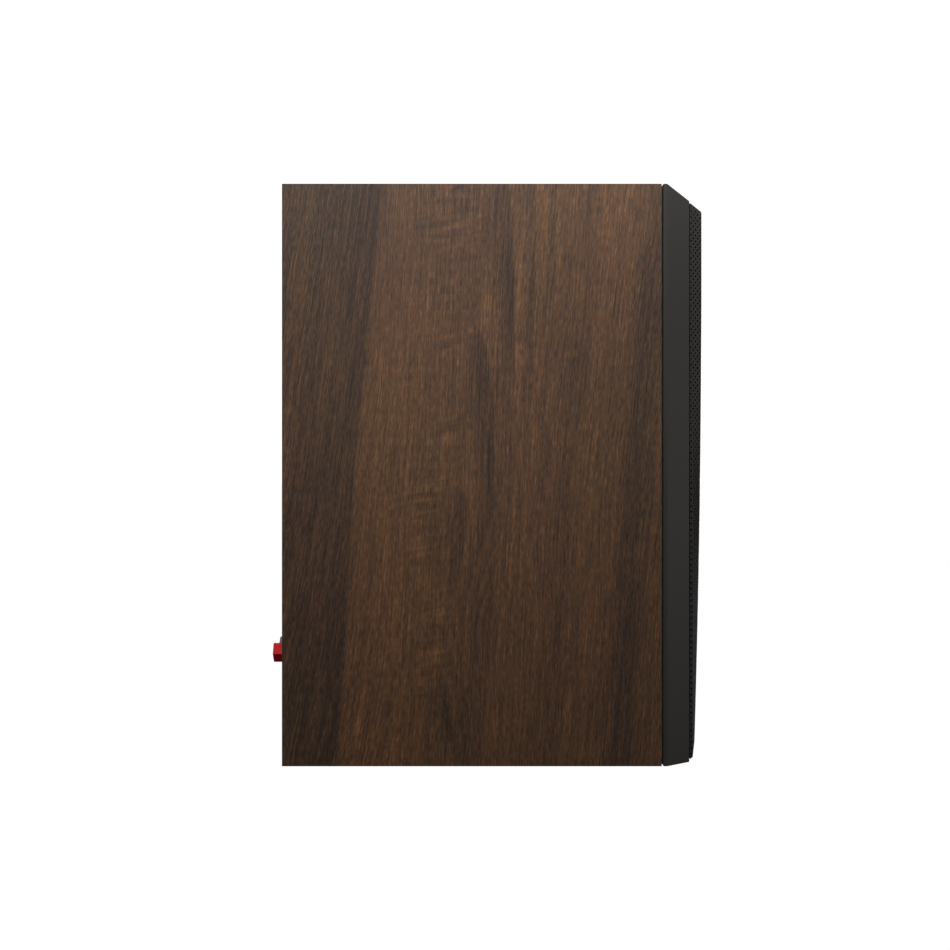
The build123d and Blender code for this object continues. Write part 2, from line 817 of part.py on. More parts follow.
def grille_skin():
    """Pressed steel sheet. Its perforation is left to the finish."""
    return grille_form(0) - grille_form(grille_sheet)


def grille_frame():
    """Moulded ring inside the sheet's back edge, with bosses for the magnets."""
    outer_half = face_half - grille_inset - 1.8
    rail = 8.0
    low, high = grille_bottom + 2.7, grille_top - 2.7
    mid = (low + high) / 2
    outer = plate(2 * outer_half, high - low, 2, frame_front, y_grille, 0, mid)
    window = plate(
        2 * (outer_half - rail), high - low - 2 * rail, 5, frame_front - 1, y_grille + 1, 0, mid
    )
    bosses = [rod(magnet_r + 2, frame_front, y_grille, x, z) for x, z in magnet_places()]
    ring = (outer - window + bosses) & outer
    for x, z in magnet_places():
        ring -= rod(magnet_r, frame_front - 1, y_grille + 1, x, z)
    return ring


def disc_set(r, y0, y1):
    return solids([rod(r, y0, y1, x, z) for x, z in magnet_places()])


# ---------------------------------------------------------------- output
def build():
    red, black = post_places()["red"], post_places()["black"]
    return {
        "side_panel_left": side_panel(-1),
        "side_panel_right": side_panel(1),
        "top_panel": cap_panel(height, height - wall),
        "bottom_panel": cap_panel(0, wall),
        "rear_panel": rear_panel(),
        "window_brace": window_brace(),
        "baffle": baffle(),
        "baffle_magnets": disc_set(magnet_r - slip, y_face, y_face + 4),
        "damping_pads": damping_pads(),
        "port_tube": port_tube(),
        "port_inner_flare": port_inner_flare(),
        "terminal_plate": terminal_plate(),
        "terminal_gasket": terminal_gasket(),
        "terminal_screws": terminal_screws(),
        "post_collars": post_collars(),
        "post_nuts": post_nuts(),
        "solder_tags": solder_tags(),
        "red_post_stud": post_stud(red),
        "red_post_washer": post_washer(red),
        "red_knob_insert": post_insert(red),
        "red_knob": post_knob(red, 41.7),
        "black_post_stud": post_stud(black),
        "black_post_washer": post_washer(black),
        "black_knob_insert": post_insert(black),
        "black_knob": post_knob(black, 18.0),
        "woofer_basket": woofer_basket(),
        "woofer_gasket": woofer_gasket(),
        "woofer_screws": woofer_screws(),
        "woofer_cone": woofer_cone(),
        "woofer_surround": woofer_surround(),
        "woofer_dust_cap": woofer_dust_cap(),
        "woofer_spider": woofer_spider(),
        "woofer_coil_former": woofer_former(),
        "woofer_voice_coil": woofer_coil(),
        "woofer_top_plate": woofer_top_plate(),
        "woofer_magnet": woofer_magnet(),
        "woofer_yoke": woofer_yoke(),
        "woofer_terminals": woofer_terminals(),
        "waveguide": waveguide(),
        "tweeter_gasket": tweeter_gasket(),
        "tweeter_screws": tweeter_screws(),
        "tweeter_dome": tweeter_dome(),
        "tweeter_surround": tweeter_surround(),
        "tweeter_voice_coil": tweeter_coil(),
        "tweeter_top_plate": tweeter_top_plate(),
        "tweeter_magnet": tweeter_magnet(),
        "tweeter_yoke": tweeter_yoke(),
        "crossover_board": crossover_board(),
        "crossover_standoffs": crossover_standoffs(),
        "woofer_inductor": inductor(-42, 30, 22, 10, 20),
        "tweeter_inductor": inductor(-44, 72, 15, 7, 12),
        "capacitors": capacitors(),
        "resistors": resistors(),
        "wiring_red": wiring("red", 2.0),
        "wiring_black": wiring("black", -2.0),
        "grille_skin": grille_skin(),
        "grille_frame": grille_frame(),
        "grille_magnets": disc_set(magnet_r - slip, frame_front, y_grille),
        "grille_pads": disc_set(magnet_r + 1, y_grille, y_face),
    }


os.makedirs("parts", exist_ok=True)
for node, shape in build().items():
    export_step(shape, f"parts/{node}.step")
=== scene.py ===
"""Looks for a bookshelf loudspeaker: walnut veneer, a perforated grille, drivers, a port and terminals.

Everything is in metres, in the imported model's frame: +Z is up, the baffle faces -Y, the terminals face +Y.
"""

import math

import bmesh
import bpy
import numpy as np
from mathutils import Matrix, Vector, noise

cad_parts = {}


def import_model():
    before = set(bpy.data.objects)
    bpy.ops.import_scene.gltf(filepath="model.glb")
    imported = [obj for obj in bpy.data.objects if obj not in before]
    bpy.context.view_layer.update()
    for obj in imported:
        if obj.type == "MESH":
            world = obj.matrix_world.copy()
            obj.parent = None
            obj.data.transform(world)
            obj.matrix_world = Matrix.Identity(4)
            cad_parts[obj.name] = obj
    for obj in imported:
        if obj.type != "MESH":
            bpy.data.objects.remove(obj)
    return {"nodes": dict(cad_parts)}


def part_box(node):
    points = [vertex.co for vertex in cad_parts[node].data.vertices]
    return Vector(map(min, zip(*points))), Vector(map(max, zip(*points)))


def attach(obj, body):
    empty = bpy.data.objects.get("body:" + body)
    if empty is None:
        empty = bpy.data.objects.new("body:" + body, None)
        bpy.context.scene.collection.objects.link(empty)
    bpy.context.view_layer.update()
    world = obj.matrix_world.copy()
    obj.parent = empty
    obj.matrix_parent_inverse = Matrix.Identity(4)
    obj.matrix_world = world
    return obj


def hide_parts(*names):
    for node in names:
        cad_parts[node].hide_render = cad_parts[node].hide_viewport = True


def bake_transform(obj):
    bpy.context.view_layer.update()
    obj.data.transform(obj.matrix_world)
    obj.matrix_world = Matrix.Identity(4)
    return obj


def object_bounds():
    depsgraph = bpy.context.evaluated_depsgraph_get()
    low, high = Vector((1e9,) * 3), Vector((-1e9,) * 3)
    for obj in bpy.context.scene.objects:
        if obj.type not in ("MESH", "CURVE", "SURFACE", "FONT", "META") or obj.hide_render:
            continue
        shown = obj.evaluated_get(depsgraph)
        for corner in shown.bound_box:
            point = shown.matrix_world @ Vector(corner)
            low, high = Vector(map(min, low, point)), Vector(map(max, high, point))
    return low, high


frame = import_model()
nodes = frame["nodes"]
cad_low, cad_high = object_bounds()
MM = 0.001
SMOOTH_ANGLE = math.radians(35)

# ---------------------------------------------------------------- places read from the frame
side_low, side_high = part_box("side_panel_left")
skin_low, skin_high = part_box("grille_skin")
woofer_low, woofer_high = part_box("woofer_basket")
horn_low, horn_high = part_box("waveguide")
HEIGHT = side_high.z
Y_REAR = side_high.y
Y_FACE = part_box("baffle")[0].y
Y_GRILLE = skin_high.y
WOOFER_Z = (woofer_low.z + woofer_high.z) / 2
TWEETER_Z = (horn_low.z + horn_high.z) / 2


# ---------------------------------------------------------------- shader arithmetic
class Field:
    """A number that varies over a surface: a socket of a material's nodes that takes plain arithmetic."""

    def __init__(self, tree, socket):
        self.tree = tree
        self.socket = socket

    def math(self, operation, *others, clamp=False):
        node = self.tree.nodes.new("ShaderNodeMath")
        node.operation = operation
        node.use_clamp = clamp
        for i, value in enumerate((self, *others)):
            plug(self.tree, value, node.inputs[i])
        return Field(self.tree, node.outputs[0])

    def __add__(self, other):
        return self.math("ADD", other)

    def __sub__(self, other):
        return self.math("SUBTRACT", other)

    def __rsub__(self, other):
        return self.math("MULTIPLY", -1).math("ADD", other)

    def __mul__(self, other):
        return self.math("MULTIPLY", other)

    def __truediv__(self, other):
        return self.math("DIVIDE", other)

    def sqrt(self):
        return self.math("SQRT")

    def fract(self):
        return self.math("FRACT")

    def clip(self):
        return self.math("ADD", 0, clamp=True)

    def step(self, low, high, start=0.0, end=1.0):
        """start below low, end above high, and smooth in between."""
        node = self.tree.nodes.new("ShaderNodeMapRange")
        node.interpolation_type = "SMOOTHSTEP"
        plug(self.tree, self, node.inputs["Value"])
        for name, value in (("From Min", low), ("From Max", high), ("To Min", start), ("To Max", end)):
            node.inputs[name].default_value = value
        return Field(self.tree, node.outputs[0])

    def bump_at(self, centre, half_width):
        """1 at centre, falling smoothly to 0 at half_width either side."""
        return (self - centre).math("ABSOLUTE").step(0, half_width, 1, 0)

    def curve(self, *points):
        """A smooth curve through a few (input, output) points, both from 0 to 1."""
        node = self.tree.nodes.new("ShaderNodeFloatCurve")
        line = node.mapping.curves[0]
        while len(line.points) < len(points):
            line.points.new(0.5, 0.5)
        for point, place in zip(line.points, points):
            point.location = place
            point.handle_type = "AUTO_CLAMPED"
        node.mapping.update()
        plug(self.tree, self, node.inputs["Value"])
        return Field(self.tree, node.outputs[0])


def plug(tree, value, socket):
    """Links a Field to a socket, or sets the socket to a plain value."""
    if isinstance(value, Field):
        tree.links.new(value.socket, socket)
    else:
        socket.default_value = value


class Surface:
    """A material under construction, with the coordinates and patterns that it may use."""

    def __init__(self, name):
        self.material = bpy.data.materials.new(name)
        self.material.use_nodes = True
        self.tree = self.material.node_tree
        self.shader = self.tree.nodes["Principled BSDF"]

    def axes(self):
        """The three object coordinates, in millimetres."""
        coordinates = self.tree.nodes.new("ShaderNodeTexCoord")
        split = self.tree.nodes.new("ShaderNodeSeparateXYZ")
        self.tree.links.new(coordinates.outputs["Object"], split.inputs[0])
        return [Field(self.tree, split.outputs[i]) * 1000 for i in range(3)]

    def join(self, x, y, z):
        node = self.tree.nodes.new("ShaderNodeCombineXYZ")
        for value, socket in zip((x, y, z), node.inputs):
            plug(self.tree, value, socket)
        return Field(self.tree, node.outputs[0])

    def noise(self, place, detail=2.0, roughness=0.5, distortion=0.0):
        """Smooth noise from 0 to 1, one feature per unit of place."""
        node = self.tree.nodes.new("ShaderNodeTexNoise")
        plug(self.tree, place, node.inputs["Vector"])
        node.inputs["Scale"].default_value = 1.0
        node.inputs["Detail"].default_value = detail
        node.inputs["Roughness"].default_value = roughness
        node.inputs["Distortion"].default_value = distortion
        return Field(self.tree, node.outputs[0])

    def ramp(self, value, *stops):
        """A colour from a value. Each stop is (position, linear colour)."""
        node = self.tree.nodes.new("ShaderNodeValToRGB")
        bands = node.color_ramp.elements
        while len(bands) < len(stops):
            bands.new(0.5)
        for band, (position, colour) in zip(bands, stops):
            band.position = position
            band.color = (*colour, 1)
        plug(self.tree, value, node.inputs[0])
        return Field(self.tree, node.outputs[0])

    def mix(self, share, first, second, blend="MIX"):
        node = self.tree.nodes.new("ShaderNodeMix")
        node.data_type = "RGBA"
        node.blend_type = blend
        plug(self.tree, share, node.inputs[0])
        for value, socket in ((first, node.inputs[6]), (second, node.inputs[7])):
            plug(self.tree, value if isinstance(value, Field) else (*value, 1), socket)
        return Field(self.tree, node.outputs[2])

    def bump(self, height, distance, strength=1.0):
        """Relief of the given depth in metres."""
        node = self.tree.nodes.new("ShaderNodeBump")
        node.inputs["Strength"].default_value = strength
        node.inputs["Distance"].default_value = distance
        plug(self.tree, height, node.inputs["Height"])
        self.tree.links.new(node.outputs[0], self.shader.inputs["Normal"])

    def set(self, **values):
        """Principled inputs by name, with underscores for spaces."""
        for key, value in values.items():
            socket = self.shader.inputs[key.replace("_", " ")]
            if isinstance(value, tuple) and len(value) == 3:
                value = (*value, 1)
            plug(self.tree, value, socket)
        return self


# ---------------------------------------------------------------- walnut
BOARD = 260.8
BOARD_HEIGHT = 400
HORIZONTAL_SHIFT = 210
LONG_FIBRE = 0.80
FINE_FIBRE = 0.66
HAIR_FIBRE = 1.00
ARCH_DEPTH = 40.0
ARCH_SPACING = 8.0


def wood_shade(level, green, blue):
    """A linear wood colour from its red level and the shares of green and blue."""
    return (level, level * green, level * blue)


def tinted(s, share, colour, tint):
    """colour, multiplied by tint as far as share goes."""
    return s.mix(share, colour, s.mix(1.0, colour, tint, "MULTIPLY"))


def zone_tone(w):
    """The broad tone across the board: 0 is dark and greyish, 1 is light and warm."""
    return (w / BOARD).clip().curve(
        (0, 0.39), (0.06, 0.36), (0.12, 0.36), (0.192, 0.29), (0.202, 0.55), (0.28, 0.62), (0.40, 0.58),
        (0.485, 0.49), (0.53, 0.46), (0.565, 0.44), (0.59, 0.55), (0.66, 0.54), (0.72, 0.49), (0.755, 0.44),
        (0.80, 0.53), (0.86, 0.52), (0.90, 0.44), (0.93, 0.28), (0.975, 0.36), (1, 0.48)
    )


def add_painted_light_by_height(tone, w, h):
    """Paints light by height: painted sheen lightens the front of the board's top and painted shade darkens
    its rear, painted shade darkens the foot, and the rear strip is darker towards the bottom.
    """
    # painted sheen and shade: the top of the board is lighter at the front and darker at the rear
    upper = (w / BOARD).clip().curve((0, 0.43), (0.28, 0.38), (0.5, 0.47), (0.78, 0.57), (1, 0.55)) - 0.5
    tone = tone + upper * h.step(250, 400)
    # painted shade: darker towards the foot
    tone = tone - h.step(10, 240, 0.075, 0)
    return tone - w.step(40, 60, 0.05, 0) * h.step(60, 300, 1, 0)


def add_arches(s, tone, board, a, w, h, wander, seed):
    """Cathedral arches about a leaning axis, and a dark flame inside the lowest one."""
    axis = (h / BOARD_HEIGHT).clip().curve(
        (0, 0.430), (0.15, 0.414), (0.26, 0.395), (0.4675, 0.4545), (0.7575, 0.5215), (1, 0.56)
    )
    u = board - axis * BOARD
    rank = (h / BOARD_HEIGHT).clip().curve(
        (0, 0), (0.16, 0.2), (0.26, 0.4), (0.468, 0.6), (0.757, 0.8), (1, 0.98)
    ) * 5
    # the arches are narrower near the foot
    reach = u / (h / BOARD_HEIGHT).clip().curve((0, 0.36), (0.18, 0.42), (0.34, 0.72), (0.5, 1), (1, 1))
    widening = ((reach * reach + ARCH_DEPTH**2).sqrt() - ARCH_DEPTH) / ARCH_SPACING
    edge = (rank + widening + wander * 0.5).fract()
    arch = edge.step(0.0, 0.86, 1, 0) + edge.step(0.92, 1.0)
    near = u.bump_at(14, 56)
    right = u.step(-6, 4)
    fade = s.noise(s.join(a / 40, h / 90, seed + 61), 1).step(0.35, 0.6, 0.35, 1)
    fade = fade * h.step(60, 210, 0.35, 1)
    tone = tone + (arch - 0.5) * (near * right * 0.32 + near * 0.06) * fade
    # painted sheen and shade by height, laid over the grain
    tone = add_painted_light_by_height(tone, w, h)
    flame = u.bump_at(2, 7) * (rank + u * u / 70).bump_at(0.62, 0.5)
    return tone - flame * 0.26


def add_figure(s, tone, a, w, h, seed):
    """Light bars across the grain, in patches."""
    bars = s.noise(s.join(a / 30 + h / 60, h / 4.6 - a / 24, seed + 2), 2, 0.5, 0.4) - 0.5
    patch = s.noise(s.join(a / 30, h / 70, seed + 14), 1)
    where = w.bump_at(104, 40) * patch.step(0.42, 0.60)
    hatch = s.noise(s.join(a / 9, h / 1.3, seed + 21), 1) - 0.5
    return tone + bars * where * 0.95 + hatch * w.bump_at(90, 60) * 0.16


def wood_colour(s, tone, a, q, h, seed):
    """The colour of each tone, with greyish streaks, rosy areas, and a warmer foot that is painted shade: its
    tint takes out sheen there.
    """
    colour = s.ramp(
        tone.clip(),
        (0.0, wood_shade(0.048, 0.62, 0.42)), (0.22, wood_shade(0.083, 0.56, 0.33)),
        (0.45, wood_shade(0.142, 0.515, 0.26)), (0.70, wood_shade(0.222, 0.485, 0.205)),
        (1.0, wood_shade(0.370, 0.49, 0.21)),
    )
    grey = s.noise(s.join(q / 8, h / 150, seed + 31), 2, 0.6).step(0.5, 0.75)
    colour = tinted(s, grey * 0.4, colour, (0.82, 0.95, 1.08))
    rosy = s.noise(s.join(a / 55, h / 150, seed + 71), 1).step(0.35, 0.65)
    colour = tinted(s, rosy * 0.5, colour, (1.05, 0.965, 1.16))
    # painted shade: warmer and more saturated towards the foot, as if less sheen fell there
    return tinted(s, h.step(20, 280, 1, 0), colour, (1.0, 0.945, 0.81))


def walnut(name, across, along, face, seed=0.0):
    """Crown-cut walnut veneer, with painted shade towards the foot and painted sheen at the top of the board.
    across and along name the axes (0, 1, 2) that cross and follow the grain.

    face is where the shown face lies on the third axis. Depth behind it counts as more width, so that the
    grain also runs along the board's edges.
    """
    s = Surface(name)
    axes = s.axes()
    start = Y_REAR / MM if across == 1 else -(cad_high.x / MM)
    a = (start - axes[across]) if across == 1 else (axes[across] - start)
    a = a + (axes[3 - across - along] - face / MM).math("ABSOLUTE")
    h = axes[along] if along == 2 else axes[along] + HORIZONTAL_SHIFT
    # slow wander of the grain, and the lean of each zone
    wander = s.noise(s.join(a / 70, h / 260, seed + 3.1), 1.5) - 0.5
    ripple = s.noise(s.join(a / 16, h / 45, seed + 9.7), 2) - 0.5
    board = a + wander * 12 + ripple * 1.6
    lean = (board / BOARD).clip().curve(
        (0, 0.34), (0.2, 0.26), (0.34, 0.1), (0.55, 0.09), (0.75, 0.15), (1, 0.22)
    )
    q = board - (h - BOARD_HEIGHT / 2) * lean * 0.5
    w = board - (h - BOARD_HEIGHT / 2) * 0.075
    tone = add_arches(s, zone_tone(w), board, a, w, h, wander, seed)
    # streaks that follow the fibres
    broad = s.noise(s.join(q / 5.5, h / 130, seed + 1), 2, 0.6) - 0.5
    middle = s.noise(s.join(q / 2.6, h / 70, seed + 5), 1, 0.5) - 0.5
    lines = s.noise(s.join(q / 0.95, h / 60, seed + 17), 1, 0.5) - 0.5
    fine = s.noise(s.join(q / 1.1, h / 17, seed + 7), 1, 0.6, 0.2) - 0.5
    hair = s.noise(s.join(q / 0.85, h / 5.5, seed + 11), 1, 0.6) - 0.5
    rear_zone = w.step(46, 54, 1, 0)
    tone = tone + broad * (rear_zone * 0.30 + 0.30) + middle * 0.30
    tone = tone + lines * LONG_FIBRE + fine * FINE_FIBRE + hair * HAIR_FIBRE
    tone = add_figure(s, tone, a, w, h, seed)
    colour = wood_colour(s, tone, a, q, h, seed)
    # pores: short dark lines
    pore_field = s.noise(s.join(q / 0.6, h / 8, seed + 40), 1, 0.5)
    crowd = s.noise(s.join(q / 7, h / 120, seed + 44), 1)
    pores = (pore_field + crowd * 0.14).step(0.68, 0.78)
    colour = s.mix(pores * 0.5, colour, wood_shade(0.045, 0.62, 0.42))
    s.set(Base_Color=colour, Roughness=pores * 0.2 + 0.44 + fine * 0.12, Specular_IOR_Level=0.5)
    s.bump(fine * 0.4 + hair * 0.4 - pores, 0.00012, 0.6)
    return s.material


# ---------------------------------------------------------------- plain finishes with their fine texture
def textured(name, colour, roughness, grain_mm, relief, vary=0.08, metallic=0.0, **more):
    """A moulded, painted or cast finish: slight mottling, and grain of grain_mm with relief in metres."""
    s = Surface(name)
    x, y, z = s.axes()
    place = s.join(x / grain_mm, y / grain_mm, z / grain_mm)
    grain = s.noise(place, 3, 0.6)
    slow = s.noise(s.join(x / 45, y / 45, z / 45), 3)
    shade = (slow - 0.5) * 2 * vary + (grain - 0.5) * vary
    low = tuple(c * (1 - 2 * vary) for c in colour)
    high = tuple(min(1.0, c * (1 + 2 * vary)) for c in colour)
    s.set(
        Base_Color=s.ramp((shade * 2 + 0.5).clip(), (0.0, low), (0.5, colour), (1.0, high)),
        Roughness=(grain - 0.5) * 0.12 + (slow - 0.5) * 0.08 + roughness,
        Metallic=metallic,
        **more,
    )
    s.bump(grain, relief)
    return s.material


def brushed(name, colour, roughness, centre, axis=1):
    """Turned metal: fine rings about an axis through centre, in millimetres."""
    s = Surface(name)
    axes = s.axes()
    radial = [axes[i] - centre[i] for i in range(3) if i != axis]
    radius = (radial[0] * radial[0] + radial[1] * radial[1]).sqrt()
    lines = s.noise(s.join(radius / 0.12, axes[axis] / 0.12, 0.0), 2)
    stain = s.noise(s.join(axes[0] / 9, axes[1] / 9, axes[2] / 9), 3)
    dull = tuple(c * 0.72 for c in colour)
    s.set(
        Base_Color=s.ramp(stain, (0.3, dull), (0.62, colour)),
        Roughness=(lines - 0.5) * 0.25 + roughness,
        Metallic=1.0,
    )
    s.bump(lines, 0.00003)
    return s.material


def wound(name, colour, pitch_mm, axis):
    """Enamelled wire laid in turns along an axis, with painted shade in the grooves between turns."""
    s = Surface(name)
    axes = s.axes()
    turns = (axes[axis] / pitch_mm).fract().bump_at(0.5, 0.5)
    stain = s.noise(s.join(axes[0] / 4, axes[1] / 4, axes[2] / 4), 3)
    # painted shade: the grooves between turns are darker
    dark = tuple(c * 0.35 for c in colour)
    dull = tuple(c * 0.8 for c in colour)
    s.set(
        Base_Color=s.mix(turns.step(0, 0.6), dark, s.ramp(stain, (0.3, dull), (0.7, colour))),
        Roughness=(stain - 0.5) * 0.2 + 0.3,
        Metallic=1.0,
    )
    s.bump(turns, 0.0002)
    return s.material


def woven(name, colour, pitch_mm, axes_used=(0, 2)):
    """Plain weave of two thread directions."""
    s = Surface(name)
    axes = s.axes()
    first, second = (axes[i] / pitch_mm for i in axes_used)
    wave = (first * math.pi).math("SINE") * (second * math.pi).math("SINE")
    fuzz = s.noise(s.join(axes[0] / 0.4, axes[1] / 0.4, axes[2] / 0.4), 3)
    tone = (wave * 0.35 + 0.5 + (fuzz - 0.5) * 0.4).clip()
    s.set(
        Base_Color=s.ramp(tone, (0.1, tuple(c * 0.45 for c in colour)), (0.8, colour)),
        Roughness=fuzz * 0.2 + 0.75,
    )
    s.bump(tone, 0.0003)
    return s.material


def fibre(name, colour, scale_mm, roughness=0.85, relief=0.0006):
    """Matted fibres: wadding, pressed pulp or felt."""
    s = Surface(name)
    x, y, z = s.axes()
    place = s.join(x / scale_mm, y / scale_mm, z / scale_mm)
    strands = s.noise(place, 5, 0.75, 1.6)
    clumps = s.noise(s.join(x / 22, y / 22, z / 22), 3)
    tone = (strands * 0.7 + clumps * 0.3).clip()
    s.set(
        Base_Color=s.ramp(tone, (0.3, tuple(c * 0.5 for c in colour)), (0.68, colour)),
        Roughness=(strands - 0.5) * 0.2 + roughness,
    )
    s.bump(strands, relief)
    return s.material


def glossy_moulding(name, colour):
    """Bright moulded plastic with a little depth, and fine handling marks."""
    s = Surface(name)
    x, y, z = s.axes()
    flow = s.noise(s.join(x / 6, y / 6, z / 6), 3)
    marks = s.noise(s.join(x / 0.3, y / 3.5, z / 0.3), 2)
    s.set(
        Base_Color=s.ramp(flow, (0.3, tuple(c * 0.82 for c in colour)), (0.7, colour)),
        Roughness=(marks - 0.5) * 0.12 + 0.34,
        Specular_IOR_Level=0.16,
    )
    s.bump(marks, 0.00001)
    return s.material


# ---------------------------------------------------------------- meshes
def add_mesh(name, vertices, faces, body, material, smooth_angle=SMOOTH_ANGLE):
    """A mesh object in metres that rides on a body. Edges sharper than smooth_angle stay crisp."""
    mesh = bpy.data.meshes.new(name)
    mesh.from_pydata([tuple(v) for v in vertices], [], [tuple(int(i) for i in f) for f in faces])
    mesh.validate()
    piece = bpy.data.objects.new(name, mesh)
    bpy.context.scene.collection.objects.link(piece)
    mesh.polygons.foreach_set("use_smooth", [True] * len(mesh.polygons))
    mesh.set_sharp_from_angle(angle=smooth_angle)
    mesh.materials.append(material)
    if body:
        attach(piece, body)
    return piece


# ---------------------------------------------------------------- flexible rings
SECTOR_STEPS = 6


def half_roll(radius, half_width, foot, rise, steps=12):
    """Points (radius, depth) over a roll, from its inner foot to its outer foot."""
    turns = np.linspace(0, math.pi, steps + 1)
    return [(radius - half_width * math.cos(t), foot - rise * math.sin(t)) for t in turns]


def ring_sector(front, back, z, middle, width):
    """Vertices and faces of one closed sector of a ring, width radians wide about the angle middle."""
    outline = front + back[::-1]
    count = len(outline)
    angles = middle + np.linspace(-0.5, 0.5, SECTOR_STEPS + 1) * width
    vertices = [
        (r * MM * math.cos(t), Y_FACE + d * MM, z + r * MM * math.sin(t))
        for t in angles
        for r, d in outline
    ]
    faces = []
    for i in range(SECTOR_STEPS):
        near, far = i * count, (i + 1) * count
        for n in range(count):
            m = (n + 1) % count
            faces.append((near + n, near + m, far + m, far + n))
    last = SECTOR_STEPS * count
    for j in range(len(front) - 1):
        behind = count - 1 - j
        faces.append((j, behind, behind - 1, j + 1))
        faces.append((last + j, last + j + 1, last + behind - 1, last + behind))
    return vertices, faces


def flexible_ring(node, front, back, z, sectors, material):
    """A thin ring about the Y axis at height z.

    front and back list its two faces as (radius, depth behind the baffle's face) in millimetres, from the
    inside out. It is cut into closed sectors.
    """
    width = 2 * math.pi / sectors
    for k in range(sectors):
        middle = k * width
        vertices, faces = ring_sector(front, back, z, middle, width)
        piece = add_mesh(f"{node}_{k + 1:02d}", vertices, faces, None, material)
        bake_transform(piece)
        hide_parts(node)


def rolled_faces(inner_r, outer_r, foot, skin, roll_r, bore, crown, bore_rise, crown_rise):
    """The front and back of a flat ring with one half roll. bore is its half width behind, crown in front."""
    top = foot - skin
    back = [(inner_r, foot)] + half_roll(roll_r, bore, foot, bore_rise) + [(outer_r, foot)]
    front = [(inner_r, top)] + half_roll(roll_r, crown, top, crown_rise) + [(outer_r, top)]
    return front, back


def woofer_surround(material):
    """Rubber half roll, from the cone's rim to the basket."""
    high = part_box("woofer_surround")[1]
    front, back = rolled_faces(
        inner_r=57.0, outer_r=high.x / MM, foot=(high.y - Y_FACE) / MM, skin=0.9,
        roll_r=65.0, bore=4.1, crown=5.1, bore_rise=4.1, crown_rise=4.2,
    )
    flexible_ring("woofer_surround", front, back, WOOFER_Z,
                  16, material)


def woofer_spider(material):
    """Corrugated cloth disc, from the coil former to the basket's shelf."""
    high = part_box("woofer_spider")[1]
    wave, skin, wave_pitch, wave_steps = 1.5, 0.8, 8.0, 57
    middle = (high.y - Y_FACE) / MM - skin - wave
    neck_r, first_r, last_r, outer_r = 13.2, 15.0, 43.0, high.x / MM
    radii = np.linspace(first_r, last_r, wave_steps)
    waves = [(r, middle + wave * math.sin(2 * math.pi * (first_r - r) / wave_pitch)) for r in radii]
    front = [(neck_r, middle)] + waves + [(outer_r, middle)]
    back = [(r, d + skin) for r, d in front]
    flexible_ring("woofer_spider", front, back, WOOFER_Z,
                  12, material)


def tweeter_surround(material):
    """Small roll round the dome, with its clamped mounting ring."""
    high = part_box("tweeter_surround")[1]
    front, back = rolled_faces(
        inner_r=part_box("tweeter_dome")[1].x / MM + 0.05, outer_r=high.x / MM,
        foot=(high.y - Y_FACE) / MM, skin=0.5,
        roll_r=14.2, bore=1.0, crown=1.3, bore_rise=1.0, crown_rise=1.0,
    )
    flexible_ring("tweeter_surround", front, back, TWEETER_Z,
                  12, material)


# ---------------------------------------------------------------- wadding
PAD_CORNER = 7.5
PAD_CUTS = 30
PAD_SINK = 1.8
PAD_THICK = 18.0
BELOW_BRACE, ABOVE_BRACE, UPPER_END = 196.0, 222.0, 360.0
TOP_HALF_WIDTH = 70.0


def tuft(place):
    """Height of the wadding's tufts at a place, in millimetres."""
    return noise.noise(place / 17) * 1.6 + noise.noise(place / 6) * 1.1 + noise.noise(place / 2.5) * 0.5


def wadding_pad(name, low, high, material, seed):
    """A soft pad that fills most of the box from low to high, in millimetres. Its surface is tufted."""
    low, high = np.array(low), np.array(high)
    half = (high - low) / 2
    block = bmesh.new()
    bmesh.ops.create_cube(block, size=2.0)
    bmesh.ops.subdivide_edges(block, edges=block.edges[:], cuts=PAD_CUTS, use_grid_fill=True)
    faces = [[v.index for v in f.verts] for f in block.faces]
    points = np.array([tuple(v.co) for v in block.verts]) * half
    block.free()
    core = np.clip(points, PAD_CORNER - half, half - PAD_CORNER)
    out = points - core
    out /= np.linalg.norm(out, axis=1)[:, None]
    vertices = []
    for c, o in zip(core, out):
        place = Vector(c + o * PAD_CORNER) + Vector((seed * 37.0, 0, 0))
        rise = min(PAD_SINK - 0.1, tuft(place)) - PAD_SINK
        vertices.append((c + o * (PAD_CORNER + rise) + (low + high) / 2) * MM)
    piece = add_mesh(name, vertices, faces, "cabinet", material, math.radians(80))
    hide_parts("damping_pads")


def wadding(material):
    """Pads on the side walls, above and below the brace, and under the top."""
    low, high = (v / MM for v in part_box("damping_pads"))
    sides = (("left", low.x, low.x + PAD_THICK), ("right", high.x - PAD_THICK, high.x))
    for number, (side, x0, x1) in enumerate(sides):
        lower = (x0, low.y, low.z), (x1, high.y, BELOW_BRACE)
        upper = (x0, low.y, ABOVE_BRACE), (x1, high.y, UPPER_END)
        wadding_pad(f"wadding_lower_{side}", *lower, material, number)
        wadding_pad(f"wadding_upper_{side}", *upper, material, number + 2)
    top = (-TOP_HALF_WIDTH, low.y, high.z - PAD_THICK), (TOP_HALF_WIDTH, high.y, high.z)
    wadding_pad("wadding_top", *top, material, 4)


# ---------------------------------------------------------------- perforated grille
# Lengths are in millimetres. Columns count across the sheet, from one back edge to the other.
HOLE_R = 0.76
COLUMN_PITCH = 2.05
ROW_PITCH = 4.11
SHEET = 0.9
COLUMNS = 101
EVEN_COLUMNS = 20
GRILLE_SMOOTH_ANGLE = math.radians(62)
# the creases of the top and bottom bevels, as height per depth
TOP_BEVEL = 5.4 / 9.2
BOTTOM_BEVEL = 0.69
# the side bevel's width, and how it grows towards the foot
SIDE_RUN, TAPER_RUN, TAPER_POWER, TAPER_START, TAPER_SPAN = 6.0, 26.5, 1.6, 260.0, 250.0
